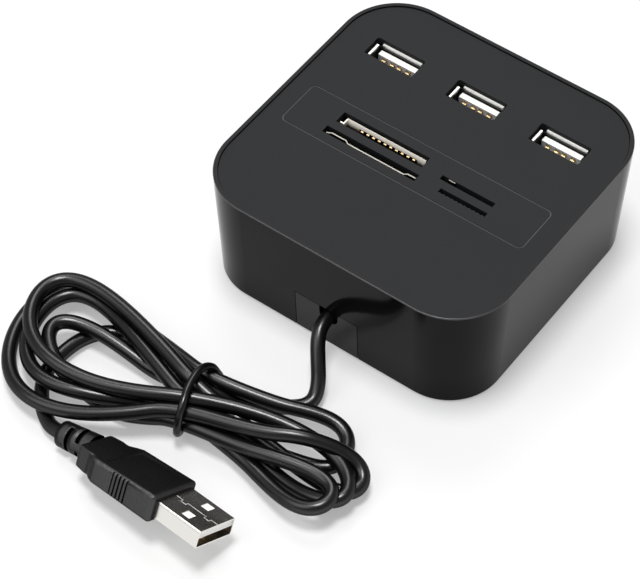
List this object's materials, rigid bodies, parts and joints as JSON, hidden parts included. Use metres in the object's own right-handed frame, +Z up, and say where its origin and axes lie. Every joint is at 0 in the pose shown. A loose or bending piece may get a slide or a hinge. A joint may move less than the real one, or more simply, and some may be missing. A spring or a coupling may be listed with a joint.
{
  "type": "usb hub card reader",
  "caption": "Square desktop hub with rounded corners, upright data sockets and memory card slots in its top, and a tied cord with a plug.",
  "frame": {"origin": "middle of the body's footprint, on the surface that it stands on", "axes": "+X along the row of sockets, +Y from the cord side to the back, +Z up"},
  "size_m": [0.1064, 0.1469, 0.0329],
  "materials": {
    "case_gloss": "gloss black",
    "panel_matte": "fine matte dark grey",
    "base_black": "black",
    "foot_rubber": "soft black",
    "steel": "bright",
    "white_plastic": "white",
    "black_plastic": "black",
    "gold": "gold plated",
    "board": "black lacquer",
    "can": "satin",
    "cord": "gloss black",
    "plug_mould": "grained black"
  },
  "bodies": {
    "root": {"base_cover": "base_black", "base_screws": "steel", "board_screws": "steel", "capacitors": "can", "case_shell": "case_gloss", "clamp_screws": "steel", "cord_clamp": "black_plastic", "cord_hank": "cord", "cord_lead": "cord", "cord_stub": "cord", "cord_tail": "cord", "cord_tie": "cord", "cord_wires": "cord", "crystal": "can", "hub_chip": "black_plastic", "link_header": "black_plastic", "link_pins": "gold", "main_board": "board", "plug_contacts": "gold", "plug_insulator": "white_plastic", "plug_overmould": "plug_mould", "plug_shell": "steel", "port_1_contacts": "gold", "port_1_insulator": "white_plastic", "port_1_shell": "steel", "port_2_contacts": "gold", "port_2_insulator": "white_plastic", "port_2_shell": "steel", "port_3_contacts": "gold", "port_3_insulator": "white_plastic", "port_3_shell": "steel", "reader_board": "board", "reader_chip": "black_plastic", "rubber_feet": "foot_rubber", "slot_1_body": "black_plastic", "slot_1_contacts": "gold", "slot_1_cover": "steel", "slot_2_body": "black_plastic", "slot_2_contacts": "gold", "slot_2_cover": "steel", "slot_3_body": "black_plastic", "slot_3_contacts": "gold", "slot_3_cover": "steel", "slot_4_body": "black_plastic", "slot_4_contacts": "gold", "slot_4_cover": "steel", "top_panel": "panel_matte"}
  },
  "joints": []
}
